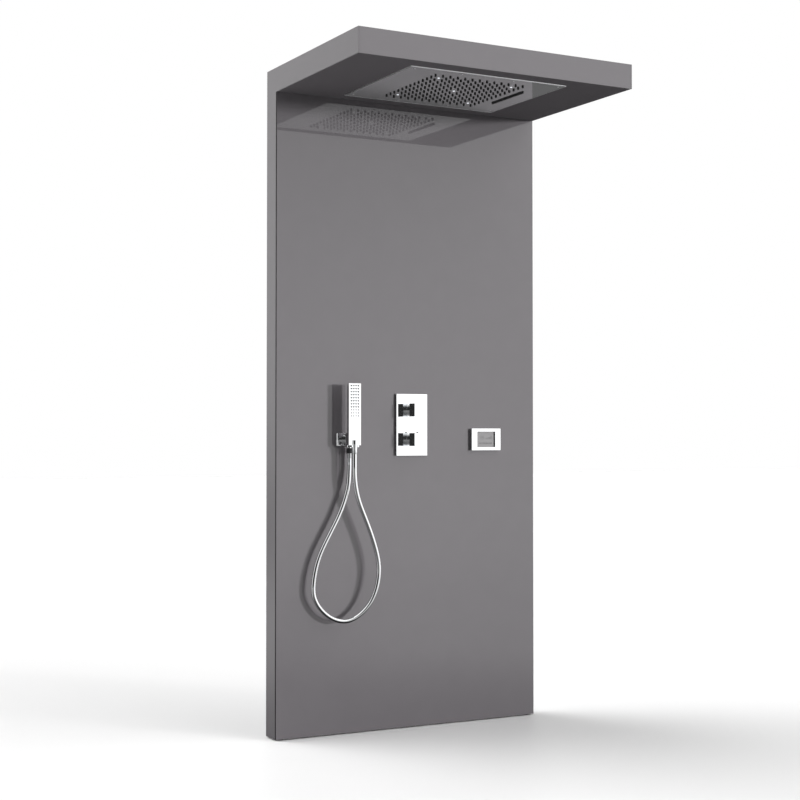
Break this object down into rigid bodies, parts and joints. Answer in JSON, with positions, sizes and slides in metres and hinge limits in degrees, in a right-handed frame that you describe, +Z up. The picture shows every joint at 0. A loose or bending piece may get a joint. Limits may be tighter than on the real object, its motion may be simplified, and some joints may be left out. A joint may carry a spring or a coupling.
{
  "type": "concealed shower set",
  "caption": "Grey shower panel with an overhead canopy, rain and cascade head, thermostatic mixer, hand shower on a hose and a wall control.",
  "frame": {"origin": "centre of the four wall holes, on the wall plane", "axes": "+X to the right in a front view, +Y into the wall, +Z up; the user stands at -Y"},
  "size_m": [1, 0.665, 2.2],
  "materials": {
    "painted_grey": "satin neutral grey lacquer",
    "laminate_grey": "glossy grey face with a black core at its edges",
    "galvanised": "galvanised steel tube and plate",
    "polished_steel": "polished stainless steel",
    "steel_sheet": "plain stainless sheet",
    "chrome": "mirror chrome on brass",
    "brass": "cast and turned brass",
    "copper": "drawn copper pipe",
    "silicone": "dark silicone",
    "black_plastic": "moulded black plastic",
    "white_plastic": "moulded acetal",
    "lens": "clear lamp lens, moulded",
    "screen": "grey display glass",
    "hose_skin": "smooth silver PVC"
  },
  "bodies": {
    "casing": {"side_cheek_left": "painted_grey", "side_cheek_right": "painted_grey", "canopy_fascia": "painted_grey", "canopy_soffit": "painted_grey", "canopy_cover": "painted_grey", "bottom_sill": "painted_grey", "front_sheet": "laminate_grey", "frame_upright_left": "galvanised", "frame_upright_right": "galvanised", "frame_crossbars": "galvanised", "canopy_arms": "galvanised", "canopy_crossbars": "galvanised", "corner_gussets": "galvanised", "wall_cleats": "galvanised", "hook_cleats": "galvanised", "frame_bolts": "galvanised", "valve_bracket": "galvanised", "head_face_plate": "polished_steel", "head_screws": "polished_steel", "head_tray": "steel_sheet", "cascade_spout": "steel_sheet", "trim_plate": "chrome", "trim_sleeves": "chrome", "bracket_sleeve": "chrome", "bracket_fork": "chrome", "outlet_hose_nut": "chrome", "control_frame": "chrome", "head_elbows": "brass", "valve_body": "brass", "inlet_check_valves": "brass", "cartridge_nuts": "brass", "outlet_elbow": "brass", "outlet_backnut": "brass", "riser_pipes": "copper", "handset_pipe": "copper", "nozzle_mat": "silicone", "trim_gasket": "silicone", "levelling_feet": "black_plastic", "control_box": "black_plastic", "transformer": "black_plastic", "cable_gland": "black_plastic", "wiring": "black_plastic", "pipe_clips": "black_plastic", "diverter_cartridge": "white_plastic", "thermostatic_cartridge": "white_plastic", "led_lamps": "lens", "control_screen": "screen", "hose": "hose_skin"},
    "diverter": {"diverter_spindle": "steel_sheet", "diverter_knob": "chrome", "diverter_grub_screw": "steel_sheet"},
    "thermostat": {"thermostat_spindle": "steel_sheet", "thermostat_knob": "chrome", "thermostat_grub_screw": "steel_sheet", "button_spring": "steel_sheet"},
    "button": {"safety_button": "chrome"},
    "handset": {"handset_body": "chrome", "handset_nozzles": "silicone", "handset_spray_face": "chrome", "handset_cone_nut": "chrome"}
  },
  "joints": [
    {"name": "diverter_turn", "type": "hinge", "parent": "casing", "child": "diverter", "pos_m": [0, -0.13, -0.021], "axis": [0, -1, 0], "range_deg": [0, 270]},
    {"name": "thermostat_turn", "type": "hinge", "parent": "casing", "child": "thermostat", "pos_m": [0, -0.13, -0.121], "axis": [0, -1, 0], "range_deg": [-180, 60]},
    {"name": "button_press", "type": "slide", "parent": "thermostat", "child": "button", "axis": [0, 0, -1], "range_m": [0, 0.003], "stiffness_N_per_m": 500, "springref_m": -0.002, "deforming": ["button_spring"]},
    {"name": "handset_lift", "type": "slide", "parent": "casing", "child": "handset", "axis": [0, 0, 1], "range_m": [0, 0.06], "deforming": ["hose"]}
  ]
}
